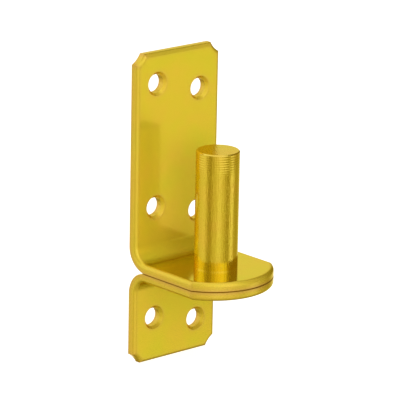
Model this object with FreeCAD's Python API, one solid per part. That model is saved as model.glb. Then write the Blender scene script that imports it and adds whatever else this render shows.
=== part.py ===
import FreeCAD, Part
import math
import os

from FreeCAD import Vector

# Plate hook for a gate hinge: two bent plates whose tongues lie on each other, and a pin
# riveted through both. Millimetres. The origin is on the pin axis at the seat, the top face
# of the tongue where the hinge eye turns. +Z is up the pin and +Y is towards the post.

# Sheet of both plates
sheet = 3.5
plate_width = 40.0
inner_bend_radius = 5.5
upper_height = 77.5
lower_depth = 40.0

# Tongue, measured from the face against the post
pin_setback = 25.5
tongue_reach = 46.0
tongue_front_radius = 23.0

# Hollow corners and softened edges of the blanks
corner_cut = 3.8
corner_hollow_radius = 9.0
edge_round = 1.5
edge_break = 0.3

# Pin and its riveted tail
pin_diameter = 16.0
pin_height = 44.0
pin_chamfer = 0.4
tenon_diameter = 10.0
rivet_head_diameter = 15.0
rivet_head_height = 2.0

# Screw holes, staggered so that the screws don't share a line of wood grain
screw_hole_diameter = 7.0
countersink_diameter = 9.0
countersink_angle = 90.0
screw_column_spacing = 20.5
screw_stagger = 4.5
top_row_below_edge = 14.0
middle_row_above_seat = 17.0
bottom_row_above_edge = 14.5

# Places that follow from the sizes
post_y = pin_setback
face_y = post_y - sheet
bend_y = face_y - inner_bend_radius
bend_z = inner_bend_radius
joint_z = -sheet
underside_z = -2 * sheet
tongue_front_y = post_y - tongue_reach
half_width = plate_width / 2
front_centre_y = tongue_front_y + tongue_front_radius
tongue_corner_y = front_centre_y - math.sqrt(tongue_front_radius**2 - half_width**2)
touching = 1e-4


def outline_face(edges):
    return Part.Face(Part.Wire(Part.__sortEdges__(edges)))


def line(start, end):
    return Part.LineSegment(start, end).toShape()


def arc(start, middle, end):
    return Part.Arc(start, middle, end).toShape()


# The bent strip: side view of tongue, bend and plate, drawn at the left edge and pulled across
def bent_strip(height):
    def at(y, z):
        return Vector(-half_width, y, z)

    def on_bend(radius):
        return at(bend_y + radius * math.sqrt(0.5), bend_z - radius * math.sqrt(0.5))

    side_view = outline_face([
        line(at(tongue_front_y, 0), at(bend_y, 0)),
        arc(at(bend_y, 0), on_bend(inner_bend_radius), at(face_y, bend_z)),
        line(at(face_y, bend_z), at(face_y, height)),
        line(at(face_y, height), at(post_y, height)),
        line(at(post_y, height), at(post_y, bend_z)),
        arc(at(post_y, bend_z), on_bend(inner_bend_radius + sheet), at(bend_y, joint_z)),
        line(at(bend_y, joint_z), at(tongue_front_y, joint_z)),
        line(at(tongue_front_y, joint_z), at(tongue_front_y, 0)),
    ])
    return side_view.extrude(Vector(plate_width, 0, 0))


# Plan view of the tongue: straight sides and one round front
def tongue_plan(height):
    def at(x, y):
        return Vector(x, y, joint_z)

    plan = outline_face([
        line(at(-half_width, post_y), at(half_width, post_y)),
        line(at(half_width, post_y), at(half_width, tongue_corner_y)),
        arc(at(half_width, tongue_corner_y), at(0, tongue_front_y), at(-half_width, tongue_corner_y)),
        line(at(-half_width, tongue_corner_y), at(-half_width, post_y)),
    ])
    return plan.extrude(Vector(0, 0, height + sheet))


# Round cutter that leaves a hollow corner with legs of corner_cut on both edges
def corner_cutter(side, height):
    half_chord = corner_cut / math.sqrt(2)
    beyond_corner = math.sqrt(corner_hollow_radius**2 - half_chord**2) - half_chord
    step = beyond_corner / math.sqrt(2)
    centre = Vector(side * (half_width + step), face_y, height + step)
    return Part.makeCylinder(corner_hollow_radius, sheet, centre, Vector(0, 1, 0))


# How deep a point lies in the bent sheet, from the skin inside the bend
def depth_in_sheet(point):
    if point.y <= bend_y:
        return -point.z
    if point.z >= bend_z:
        return point.y - face_y
    return math.hypot(point.y - bend_y, point.z - bend_z) - inner_bend_radius


# The edges where one skin of the sheet meets the cut walls of the blank
def skin_outline(solid, depth):
    def on_skin(face):
        return all(abs(depth_in_sheet(corner.Point) - depth) < touching for corner in face.Vertexes)

    return [
        edge
        for edge in solid.Edges
        if sum(on_skin(face) for face in solid.ancestorsOfType(edge, Part.Face)) == 1
    ]


# One plate with its tongue above the joint: cut to outline, then softened all the way around
def bent_plate(height):
    plate = bent_strip(height).common(tongue_plan(height))
    for side in (-1, 1):
        plate = plate.cut(corner_cutter(side, height))
    plate = plate.Solids[0]
    plate = plate.makeFillet(edge_round, skin_outline(plate, 0))
    return plate.makeChamfer(edge_break, skin_outline(plate, sheet))


# A through hole with its countersink on the face that the screw goes in from
def screw_hole(x, z):
    bore_radius = screw_hole_diameter / 2
    rim_radius = countersink_diameter / 2
    sink_depth = (rim_radius - bore_radius) / math.tan(math.radians(countersink_angle / 2))
    start = Vector(x, face_y, z)
    bore = Part.makeCylinder(bore_radius, sheet, start, Vector(0, 1, 0))
    sink = Part.makeCone(rim_radius, bore_radius, sink_depth, start, Vector(0, 1, 0))
    return bore.fuse(sink)


# The left hole of each row is the higher one
def drill_row(plate, row_z):
    for side in (-1, 1):
        x = side * screw_column_spacing / 2
        plate = plate.cut(screw_hole(x, row_z - side * screw_stagger / 2))
    return plate


def drill_tenon(plate):
    bore = Part.makeCylinder(tenon_diameter / 2, 2 * sheet, Vector(0, 0, underside_z))
    return plate.cut(bore).Solids[0]


def upper_plate():
    plate = bent_plate(upper_height)
    plate = drill_row(plate, upper_height - top_row_below_edge)
    plate = drill_row(plate, middle_row_above_seat)
    return drill_tenon(plate)


def lower_plate():
    below_tongue = lower_depth - 2 * sheet
    plate = bent_plate(below_tongue)
    plate = plate.mirror(Vector(0, 0, joint_z), Vector(0, 0, 1))
    plate = drill_row(plate, -lower_depth + bottom_row_above_edge)
    return drill_tenon(plate)


# The pin: shank on its shoulder, tenon through both tongues, and the head peened over below
def hinge_pin():
    def at(radius, z):
        return Vector(radius, 0, z)

    pin_radius = pin_diameter / 2
    tenon_radius = tenon_diameter / 2
    head_radius = rivet_head_diameter / 2
    end_radius = pin_radius - pin_chamfer
    chamfer_z = pin_height - pin_chamfer
    head_z = underside_z - rivet_head_height
    dome_radius = (head_radius**2 + rivet_head_height**2) / (2 * rivet_head_height)
    half_dome = math.asin(head_radius / dome_radius) / 2
    dome_middle = at(
        dome_radius * math.sin(half_dome),
        head_z + dome_radius * (1 - math.cos(half_dome)),
    )
    half_section = outline_face([
        line(at(0, head_z), at(0, pin_height)),
        line(at(0, pin_height), at(end_radius, pin_height)),
        line(at(end_radius, pin_height), at(pin_radius, chamfer_z)),
        line(at(pin_radius, chamfer_z), at(pin_radius, 0)),
        line(at(pin_radius, 0), at(tenon_radius, 0)),
        line(at(tenon_radius, 0), at(tenon_radius, underside_z)),
        line(at(tenon_radius, underside_z), at(head_radius, underside_z)),
        arc(at(head_radius, underside_z), dome_middle, at(0, head_z)),
    ])
    return half_section.revolve(Vector(0, 0, 0), Vector(0, 0, 1), 360)


os.makedirs("parts", exist_ok=True)
upper_plate().exportStep("parts/upper_plate.step")
lower_plate().exportStep("parts/lower_plate.step")
hinge_pin().exportStep("parts/hinge_pin.step")
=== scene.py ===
import math

import bpy
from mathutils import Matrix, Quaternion, Vector


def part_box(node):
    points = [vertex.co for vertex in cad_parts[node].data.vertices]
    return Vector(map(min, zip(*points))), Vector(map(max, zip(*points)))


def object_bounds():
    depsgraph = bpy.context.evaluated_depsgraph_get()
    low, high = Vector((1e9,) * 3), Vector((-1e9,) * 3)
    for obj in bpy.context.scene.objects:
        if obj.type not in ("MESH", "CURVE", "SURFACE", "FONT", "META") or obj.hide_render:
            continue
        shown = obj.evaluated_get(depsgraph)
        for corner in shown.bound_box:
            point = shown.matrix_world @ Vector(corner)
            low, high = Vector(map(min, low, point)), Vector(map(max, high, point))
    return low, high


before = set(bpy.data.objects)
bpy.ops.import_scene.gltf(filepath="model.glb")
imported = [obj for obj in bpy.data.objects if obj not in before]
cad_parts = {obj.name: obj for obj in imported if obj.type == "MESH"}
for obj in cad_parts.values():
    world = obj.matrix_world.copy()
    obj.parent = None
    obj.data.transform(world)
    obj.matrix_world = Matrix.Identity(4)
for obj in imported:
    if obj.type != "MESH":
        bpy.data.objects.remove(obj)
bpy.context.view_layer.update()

scene = bpy.context.scene
mm = 0.001


def hexToLinear(code):
    channels = [int(code[i:i + 2], 16) / 255 for i in (1, 3, 5)]
    linear = [c / 12.92 if c <= 0.04045 else ((c + 0.055) / 1.055) ** 2.4 for c in channels]
    return (*linear, 1.0)


# adds one node: settings go to its properties, stops to its ramp, inputs to its sockets,
# and an input given as a (node, output) pair is linked
def addNode(tree, kind, settings=None, inputs=None, stops=None):
    node = tree.nodes.new(kind)
    for name, value in (settings or {}).items():
        setattr(node, name, value)
    for name, value in (inputs or {}).items():
        socket = node.inputs[name]
        if isinstance(value, tuple) and hasattr(value[0], "outputs"):
            tree.links.new(value[0].outputs[value[1]], socket)
        else:
            socket.default_value = value
    if stops:
        elements = node.color_ramp.elements
        elements.remove(elements[1])
        elements[0].position, elements[0].color = stops[0]
        for position, colour in stops[1:]:
            elements.new(position).color = colour
    return node


def newTree(owner):
    owner.use_nodes = True
    owner.node_tree.nodes.clear()
    return owner.node_tree


# the colour of the film on the zinc: soft clouds, and another colour at corners, which are found
# by how near the other side of the metal is; on the sheet that is a thicker film, on the bar a painted
# highlight
def filmAndEdgeColour(tree, place, finish):
    cloud = addNode(tree, "ShaderNodeTexNoise", inputs={
        "Vector": (place, "Object"),
        "Scale": 1 / finish["cloud"],
        "Detail": 3.0,
        "Roughness": finish["cloudRoughness"],
    })
    film = addNode(tree, "ShaderNodeValToRGB", inputs={"Fac": (cloud, "Fac")}, stops=[
        (level, hexToLinear(colour)) for level, colour in finish["colours"]
    ])
    inwards = {"inside": True, "only_local": True, "samples": 8}
    depth = addNode(tree, "ShaderNodeAmbientOcclusion", inwards, {"Distance": finish["edgeReach"]})
    edge = addNode(tree, "ShaderNodeMapRange", {"interpolation_type": "SMOOTHSTEP"}, {
        "Value": (depth, "AO"),
        "From Min": finish["edgeDepth"][0],
        "From Max": finish["edgeDepth"][1],
    })
    return addNode(tree, "ShaderNodeMix", {"data_type": "RGBA"}, {
        0: (edge, "Result"),
        6: (film, "Color"),
        7: hexToLinear(finish["edgeFilmAndHighlightColour"]),
    })


# yellow passivated zinc on rolled sheet: bright and matt crystals too fine to see lie side by side,
# so the plates give back a sharp image and a soft glow at once
sheetFinish = {
    "colours": [(0.30, "#E6D834"), (0.50, "#ECD638"), (0.70, "#F1D23E")],  # greenish, straw, orange
    "edgeFilmAndHighlightColour": "#E2B75B",  # thicker film where the blank was cut
    "seamShadeColour": "#A07A28",  # painted shade in the crack between the plates
    "grazingColour": "#FFFBD0",
    "cloud": 13 * mm,
    "cloudRoughness": 0.55,
    "edgeReach": 2.5 * mm,
    "edgeDepth": (0.98, 0.55),  # depth reading where the edge colour begins, and where it is full
    "seamHeight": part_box("upper_plate")[0].z,
    "seamReach": (0.1 * mm, 0.35 * mm),
    "grainWidth": 0.5 * mm,  # the real rolling lines are about 0.1 mm apart, drawn coarser to show
    "grainLength": 12 * mm,
    "grainDepth": 0.008 * mm,
    "crystal": 0.1 * mm,
    "crystalBlend": 0.03,
    "brightShare": (0.46, 0.8),  # level below which a crystal is bright, face on and at a low angle
    "metallic": (0.6, 1.0),  # face on and at a low angle; the film scatters the rest
    "lowAngle": (0.3, 0.75),  # facing level where the low angle look begins, and where it is full
    "roughness": (0.12, 0.6),  # bright crystals, matt crystals
}


def yellowZincSheet(finish):
    material = bpy.data.materials.new("yellowZincSheet")
    tree = newTree(material)
    place = addNode(tree, "ShaderNodeTexCoord")
    axes = addNode(tree, "ShaderNodeSeparateXYZ", inputs={"Vector": (place, "Object")})

    # painted shade: a dark line where the tongues lie on each other
    aboveSeam = addNode(tree, "ShaderNodeMath", {"operation": "SUBTRACT"}, {
        0: (axes, "Z"),
        1: finish["seamHeight"],
    })
    fromSeam = addNode(tree, "ShaderNodeMath", {"operation": "ABSOLUTE"}, {0: (aboveSeam, 0)})
    seamShade = addNode(tree, "ShaderNodeMapRange", {"interpolation_type": "SMOOTHSTEP"}, {
        "Value": (fromSeam, 0),
        "From Min": finish["seamReach"][1],
        "From Max": finish["seamReach"][0],
    })
    colour = addNode(tree, "ShaderNodeMix", {"data_type": "RGBA"}, {
        0: (seamShade, "Result"),
        6: (filmAndEdgeColour(tree, place, finish), 2),
        7: hexToLinear(finish["seamShadeColour"]),
    })

    # rolling lines run down the plate and on along the tongue
    along = addNode(tree, "ShaderNodeMath", {"operation": "SUBTRACT"}, {0: (axes, "Z"), 1: (axes, "Y")})
    unrolled = addNode(tree, "ShaderNodeCombineXYZ", inputs={"X": (axes, "X"), "Y": (along, 0)})
    stretched = addNode(tree, "ShaderNodeMapping", inputs={
        "Vector": (unrolled, "Vector"),
        "Scale": (1 / finish["grainWidth"], 1 / finish["grainLength"], 1.0),
    })
    grain = addNode(tree, "ShaderNodeTexNoise", inputs={
        "Vector": (stretched, "Vector"),
        "Scale": 1.0,
        "Detail": 2.0,
    })
    relief = addNode(tree, "ShaderNodeBump", inputs={
        "Strength": 1.0,
        "Distance": finish["grainDepth"],
        "Height": (grain, "Fac"),
    })

    # at a low angle more crystals look bright and less light is scattered
    crystals = addNode(tree, "ShaderNodeTexNoise", inputs={
        "Vector": (place, "Object"),
        "Scale": 1 / finish["crystal"],
        "Detail": 0.0,
    })
    facing = addNode(tree, "ShaderNodeLayerWeight", inputs={"Blend": 0.5})
    share, metal = (
        addNode(tree, "ShaderNodeMapRange", inputs={
            "Value": (facing, "Facing"),
            "From Min": finish["lowAngle"][0],
            "From Max": finish["lowAngle"][1],
            "To Min": finish[name][0],
            "To Max": finish[name][1],
        })
        for name in ("brightShare", "metallic")
    )
    matt = addNode(tree, "ShaderNodeMath", {"operation": "SUBTRACT"}, {
        0: (crystals, "Fac"),
        1: (share, "Result"),
    })
    gloss = addNode(tree, "ShaderNodeMapRange", inputs={
        "Value": (matt, 0),
        "From Min": -finish["crystalBlend"],
        "From Max": finish["crystalBlend"],
        "To Min": finish["roughness"][0],
        "To Max": finish["roughness"][1],
    })
    shader = addNode(tree, "ShaderNodeBsdfPrincipled", inputs={
        "Base Color": (colour, 2),
        "Metallic": (metal, "Result"),
        "Roughness": (gloss, "Result"),
        "Specular Tint": hexToLinear(finish["grazingColour"]),
        "Normal": (relief, "Normal"),
    })
    addNode(tree, "ShaderNodeOutputMaterial", inputs={"Surface": (shader, "BSDF")})
    return material


# yellow passivated zinc on drawn bar: shinier than the sheet, with a speckle and lines along the draw
# that break up what it mirrors, tool rings near the turned end and hammer marks on the riveted tail
barFinish = {
    "colours": [(0.32, "#E8D044"), (0.52, "#ECCE48"), (0.70, "#F0CA4C")],  # greenish, straw, orange
    "edgeFilmAndHighlightColour": "#F2DC84",  # painted highlight on the turned edge
    "grazingColour": "#FFFBD0",
    "cloud": 9 * mm,
    "cloudRoughness": 0.5,
    "edgeReach": 1.0 * mm,
    "edgeDepth": (0.9, 0.5),
    "dashWidth": 0.5 * mm,  # real draw marks are finer than 0.1 mm, drawn coarser to show
    "dashLength": 3.0 * mm,
    "dashDepth": 0.06 * mm,
    "ring": 0.9 * mm,
    "ringDepth": 0.018 * mm,
    "ringHeights": (34 * mm, 40 * mm),  # where the rings begin, and where they are full
    "dent": 2.5 * mm,
    "dentDepth": 0.3 * mm,
    "dentHeights": (-6.0 * mm, -8.5 * mm),
    "crystalWidth": 0.25 * mm,  # real ones are about 0.1 mm across, drawn coarser to show as speckle
    "crystalLength": 1.2 * mm,
    "crystalLevels": (0.46, 0.68),  # level of a bright crystal and of a matt one
    "roughness": (0.08, 0.30),  # bright crystals, matt crystals
    "metallic": 1.0,
}


def yellowZincBar(finish):
    material = bpy.data.materials.new("yellowZincBar")
    tree = newTree(material)
    place = addNode(tree, "ShaderNodeTexCoord")
    axes = addNode(tree, "ShaderNodeSeparateXYZ", inputs={"Vector": (place, "Object")})
    colour = filmAndEdgeColour(tree, place, finish)

    # two patterns pulled out along the bar: draw marks, and bright and matt crystals
    stretched, drawnOut = (
        addNode(tree, "ShaderNodeMapping", inputs={
            "Vector": (place, "Object"),
            "Scale": (1 / width, 1 / width, 1 / length),
        })
        for width, length in (
            (finish["dashWidth"], finish["dashLength"]),
            (finish["crystalWidth"], finish["crystalLength"]),
        )
    )
    dashes = addNode(tree, "ShaderNodeTexNoise", inputs={
        "Vector": (stretched, "Vector"),
        "Scale": 1.0,
        "Detail": 1.0,
    })
    crystals = addNode(tree, "ShaderNodeTexNoise", inputs={
        "Vector": (drawnOut, "Vector"),
        "Scale": 1.0,
        "Detail": 0.0,
    })
    gloss = addNode(tree, "ShaderNodeMapRange", inputs={
        "Value": (crystals, "Fac"),
        "From Min": finish["crystalLevels"][0],
        "From Max": finish["crystalLevels"][1],
        "To Min": finish["roughness"][0],
        "To Max": finish["roughness"][1],
    })

    # tool rings that fade in towards the turned end
    turns = addNode(tree, "ShaderNodeMath", {"operation": "MULTIPLY"}, {
        0: (axes, "Z"),
        1: math.tau / finish["ring"],
    })
    wave = addNode(tree, "ShaderNodeMath", {"operation": "SINE"}, {0: (turns, 0)})
    ringPart = addNode(tree, "ShaderNodeMapRange", {"interpolation_type": "SMOOTHSTEP"}, {
        "Value": (axes, "Z"),
        "From Min": finish["ringHeights"][0],
        "From Max": finish["ringHeights"][1],
    })
    rings = addNode(tree, "ShaderNodeMath", {"operation": "MULTIPLY"}, {
        0: (wave, 0),
        1: (ringPart, "Result"),
    })

    # hammer dents on the tail under the tongues
    dents = addNode(tree, "ShaderNodeTexVoronoi", {"feature": "SMOOTH_F1"}, {
        "Vector": (place, "Object"),
        "Scale": 1 / finish["dent"],
    })
    tailPart = addNode(tree, "ShaderNodeMapRange", inputs={
        "Value": (axes, "Z"),
        "From Min": finish["dentHeights"][0],
        "From Max": finish["dentHeights"][1],
    })
    hammer = addNode(tree, "ShaderNodeMath", {"operation": "MULTIPLY"}, {
        0: (dents, "Distance"),
        1: (tailPart, "Result"),
    })

    # the three reliefs, each on top of the one before
    drawn = addNode(tree, "ShaderNodeBump", inputs={
        "Strength": 1.0,
        "Distance": finish["dashDepth"],
        "Height": (dashes, "Fac"),
    })
    ringed = addNode(tree, "ShaderNodeBump", inputs={
        "Strength": 1.0,
        "Distance": finish["ringDepth"],
        "Height": (rings, 0),
        "Normal": (drawn, "Normal"),
    })
    hammered = addNode(tree, "ShaderNodeBump", inputs={
        "Strength": 1.0,
        "Distance": finish["dentDepth"],
        "Height": (hammer, 0),
        "Normal": (ringed, "Normal"),
    })
    shader = addNode(tree, "ShaderNodeBsdfPrincipled", inputs={
        "Base Color": (colour, 2),
        "Metallic": finish["metallic"],
        "Roughness": (gloss, "Result"),
        "Specular Tint": hexToLinear(finish["grazingColour"]),
        "Normal": (hammered, "Normal"),
    })
    addNode(tree, "ShaderNodeOutputMaterial", inputs={"Surface": (shader, "BSDF")})
    return material


sheetMaterial = yellowZincSheet(sheetFinish)
barMaterial = yellowZincBar(barFinish)
for nodeName, material in (
    ("upper_plate", sheetMaterial),
    ("lower_plate", sheetMaterial),
    ("hinge_pin", barMaterial),
):
    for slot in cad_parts[nodeName].material_slots:
        slot.material = material
    print("plated", nodeName, "with", material.name)


# a bright room with a few darker, warmer stretches of wall, seen mostly in the metal:
# the lower and upper walls are azimuth in degrees from the front of the plates, then brightness
studio = {
    "ground": 0.35,
    "below": [
        (-180, 0.85), (-150, 0.72), (-125, 0.80), (-110, 0.86), (-98, 0.68), (-82, 0.36), (-70, 0.52),
        (-58, 0.72), (-49, 0.66), (-40, 0.80), (-30, 0.95), (-20, 0.80), (-5, 0.65), (16, 0.40),
        (26, 0.52), (36, 0.94), (46, 1.02), (60, 0.5), (90, 0.45), (110, 0.7), (125, 1.0), (180, 1.0),
    ],
    "above": [
        (-180, 0.9), (-140, 1.1), (-115, 1.0), (-95, 0.45), (-82, 0.32), (-65, 0.6), (-45, 0.85), (-25, 1.1),
        (-8, 1.2), (10, 1.0), (22, 0.65), (33, 0.3), (118, 0.3), (130, 0.7), (138, 0.84), (180, 0.8),
    ],
    "ceiling": 1.0,
    "fades": [(-0.75, -0.45), (-0.21, -0.08), (0.8, 0.95)],  # from one to the next, as sines of elevation
    "tint": [(1.0, 1.0), (0.97, 1.15), (0.9, 2.6)],  # strength and power of red, green and blue
}


def makeRoom():
    world = bpy.data.worlds.new("studioRoom")
    scene.world = world
    tree = newTree(world)

    def wallColour(level):
        return (*[strength * level ** power for strength, power in studio["tint"]], 1.0)

    place = addNode(tree, "ShaderNodeTexCoord")
    axes = addNode(tree, "ShaderNodeSeparateXYZ", inputs={"Vector": (place, "Generated")})
    front = addNode(tree, "ShaderNodeMath", {"operation": "MULTIPLY"}, {0: (axes, "Y"), 1: -1.0})
    angle = addNode(tree, "ShaderNodeMath", {"operation": "ARCTAN2"}, {0: (axes, "X"), 1: (front, 0)})
    turn = addNode(tree, "ShaderNodeMapRange", inputs={
        "Value": (angle, 0),
        "From Min": -math.pi,
        "From Max": math.pi,
    })
    below, above = (
        addNode(tree, "ShaderNodeValToRGB", inputs={"Fac": (turn, "Result")}, stops=[
            (azimuth / 360 + 0.5, wallColour(level)) for azimuth, level in studio[part]
        ])
        for part in ("below", "above")
    )

    # from the ground up, each layer fades into the next
    room = wallColour(studio["ground"])
    layers = ((below, "Color"), (above, "Color"), wallColour(studio["ceiling"]))
    for layer, (low, high) in zip(layers, studio["fades"]):
        fade = addNode(tree, "ShaderNodeMapRange", {"interpolation_type": "SMOOTHSTEP"}, {
            "Value": (axes, "Z"),
            "From Min": low,
            "From Max": high,
        })
        mix = addNode(tree, "ShaderNodeMix", {"data_type": "RGBA"}, {
            0: (fade, "Result"),
            6: room,
            7: layer,
        })
        room = (mix, 2)
    glow = addNode(tree, "ShaderNodeBackground", inputs={"Color": room, "Strength": 1.0})
    addNode(tree, "ShaderNodeOutputWorld", inputs={"Surface": (glow, "Background")})
    print("room lit, ceiling", studio["ceiling"])


# the photo's view, fitted to the outlines of the plates and the pin
shot = {
    "azimuth": -42.059,
    "elevation": 15.991,
    "roll": 1.101,
    "distance": 1.15049,
    "target": (0.000686, 0.010, 0.022764),
    "focalPixels": 3145.48,
    "imageWidth": 400,
}


def awayFrom(azimuth, elevation):
    azimuth, elevation = math.radians(azimuth), math.radians(elevation)
    return Vector((
        math.sin(azimuth) * math.cos(elevation),
        -math.cos(azimuth) * math.cos(elevation),
        math.sin(elevation),
    ))


def makeCamera():
    back = awayFrom(shot["azimuth"], shot["elevation"])
    camera = bpy.data.objects.new("photoCamera", bpy.data.cameras.new("photoCamera"))
    camera.data.lens = camera.data.sensor_width * shot["focalPixels"] / shot["imageWidth"]
    camera.location = Vector(shot["target"]) + back * shot["distance"]
    camera.rotation_mode = "QUATERNION"
    level = (-back).to_track_quat("-Z", "Y")
    camera.rotation_quaternion = level @ Quaternion((0, 0, 1), math.radians(shot["roll"]))
    scene.collection.objects.link(camera)
    scene.camera = camera
    print("camera", round(camera.data.lens, 1), "mm lens")


# one soft box at the front left; it only lights, and the room is what the metal mirrors
keyLight = {
    "azimuth": -28,
    "elevation": 12,
    "distance": 0.6,
    "size": 0.5,
    "power": 2.0,
}


def makeKeyLight():
    away = awayFrom(keyLight["azimuth"], keyLight["elevation"])
    light = bpy.data.objects.new("softBox", bpy.data.lights.new("softBox", "AREA"))
    light.data.size = keyLight["size"]
    light.data.energy = keyLight["power"]
    light.location = Vector(shot["target"]) + away * keyLight["distance"]
    light.rotation_mode = "QUATERNION"
    light.rotation_quaternion = (-away).to_track_quat("-Z", "Y")
    light.visible_glossy = False
    scene.collection.objects.link(light)
    print("soft box", keyLight["power"], "W")


# white paper under the part, which the metal neither mirrors nor gets light from
floorLook = {
    "half": 4.0,
    "colour": "#C8C8C8",
    "roughness": 0.9,
    "glow": 0.85,
}


def makeFloor():
    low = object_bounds()[0].z
    half = floorLook["half"]
    mesh = bpy.data.meshes.new("floor")
    corners = [(-half, -half, low), (half, -half, low), (half, half, low), (-half, half, low)]
    mesh.from_pydata(corners, [], [(0, 1, 2, 3)])
    floor = bpy.data.objects.new("floor", mesh)
    scene.collection.objects.link(floor)
    material = bpy.data.materials.new("whitePaper")
    tree = newTree(material)
    shader = addNode(tree, "ShaderNodeBsdfPrincipled", inputs={
        "Base Color": hexToLinear(floorLook["colour"]),
        "Roughness": floorLook["roughness"],
        "Emission Color": (1, 1, 1, 1),
        "Emission Strength": floorLook["glow"],
    })
    addNode(tree, "ShaderNodeOutputMaterial", inputs={"Surface": (shader, "BSDF")})
    mesh.materials.append(material)
    floor.visible_glossy = False
    floor.visible_diffuse = False
    print("floor at", round(low, 4))


makeRoom()
makeCamera()
makeKeyLight()
makeFloor()
scene.view_settings.view_transform = "Standard"
